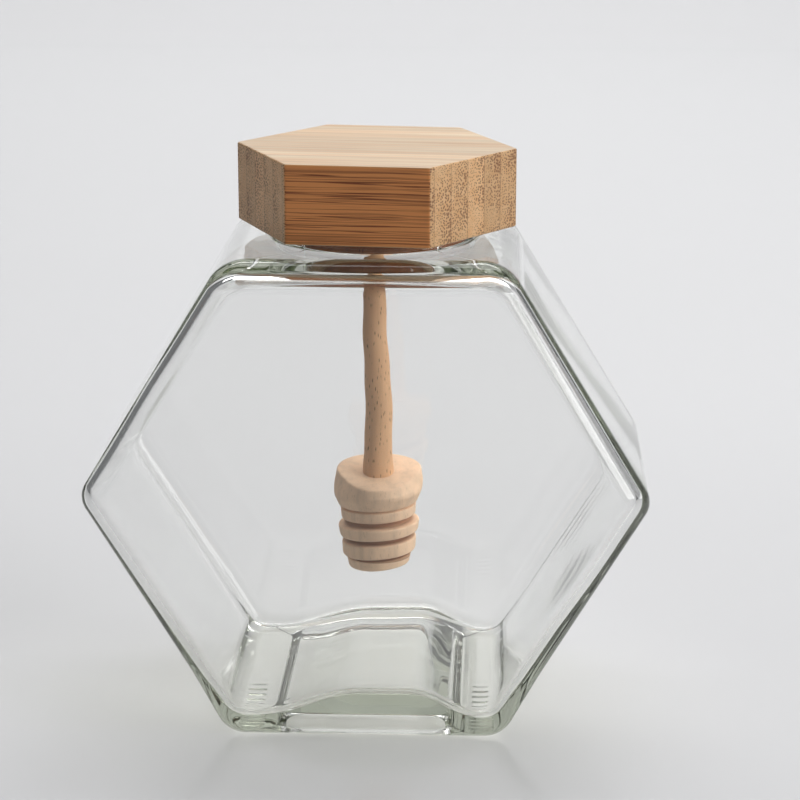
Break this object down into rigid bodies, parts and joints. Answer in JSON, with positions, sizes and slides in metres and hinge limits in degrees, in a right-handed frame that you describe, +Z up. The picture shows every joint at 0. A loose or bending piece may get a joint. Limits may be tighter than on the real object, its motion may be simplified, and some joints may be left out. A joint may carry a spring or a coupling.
{
  "type": "hexagonal glass jar with wooden lid and dipper",
  "caption": "Clear glass jar with a flat hexagonal body on edge, a short round mouth, a hexagonal bamboo lid and a wooden dipper hanging inside.",
  "frame": {"origin": "centre of the foot, on the surface that the jar stands on", "axes": "+Z up, the hexagon's two flat faces look along -Y and +Y, its long diagonal lies along X"},
  "size_m": [0.1184, 0.0616, 0.1212],
  "materials": {
    "glass": "clear polished soda-lime glass",
    "lid": "sanded laminated bamboo",
    "plug": "dark sanded wood",
    "handle": "turned beech, unfinished",
    "head": "turned pale beech, unfinished"
  },
  "bodies": {
    "root": {"jar_glass": "glass", "lid_block": "lid", "lid_plug": "plug", "dipper_handle": "handle", "dipper_head": "head"}
  },
  "joints": []
}
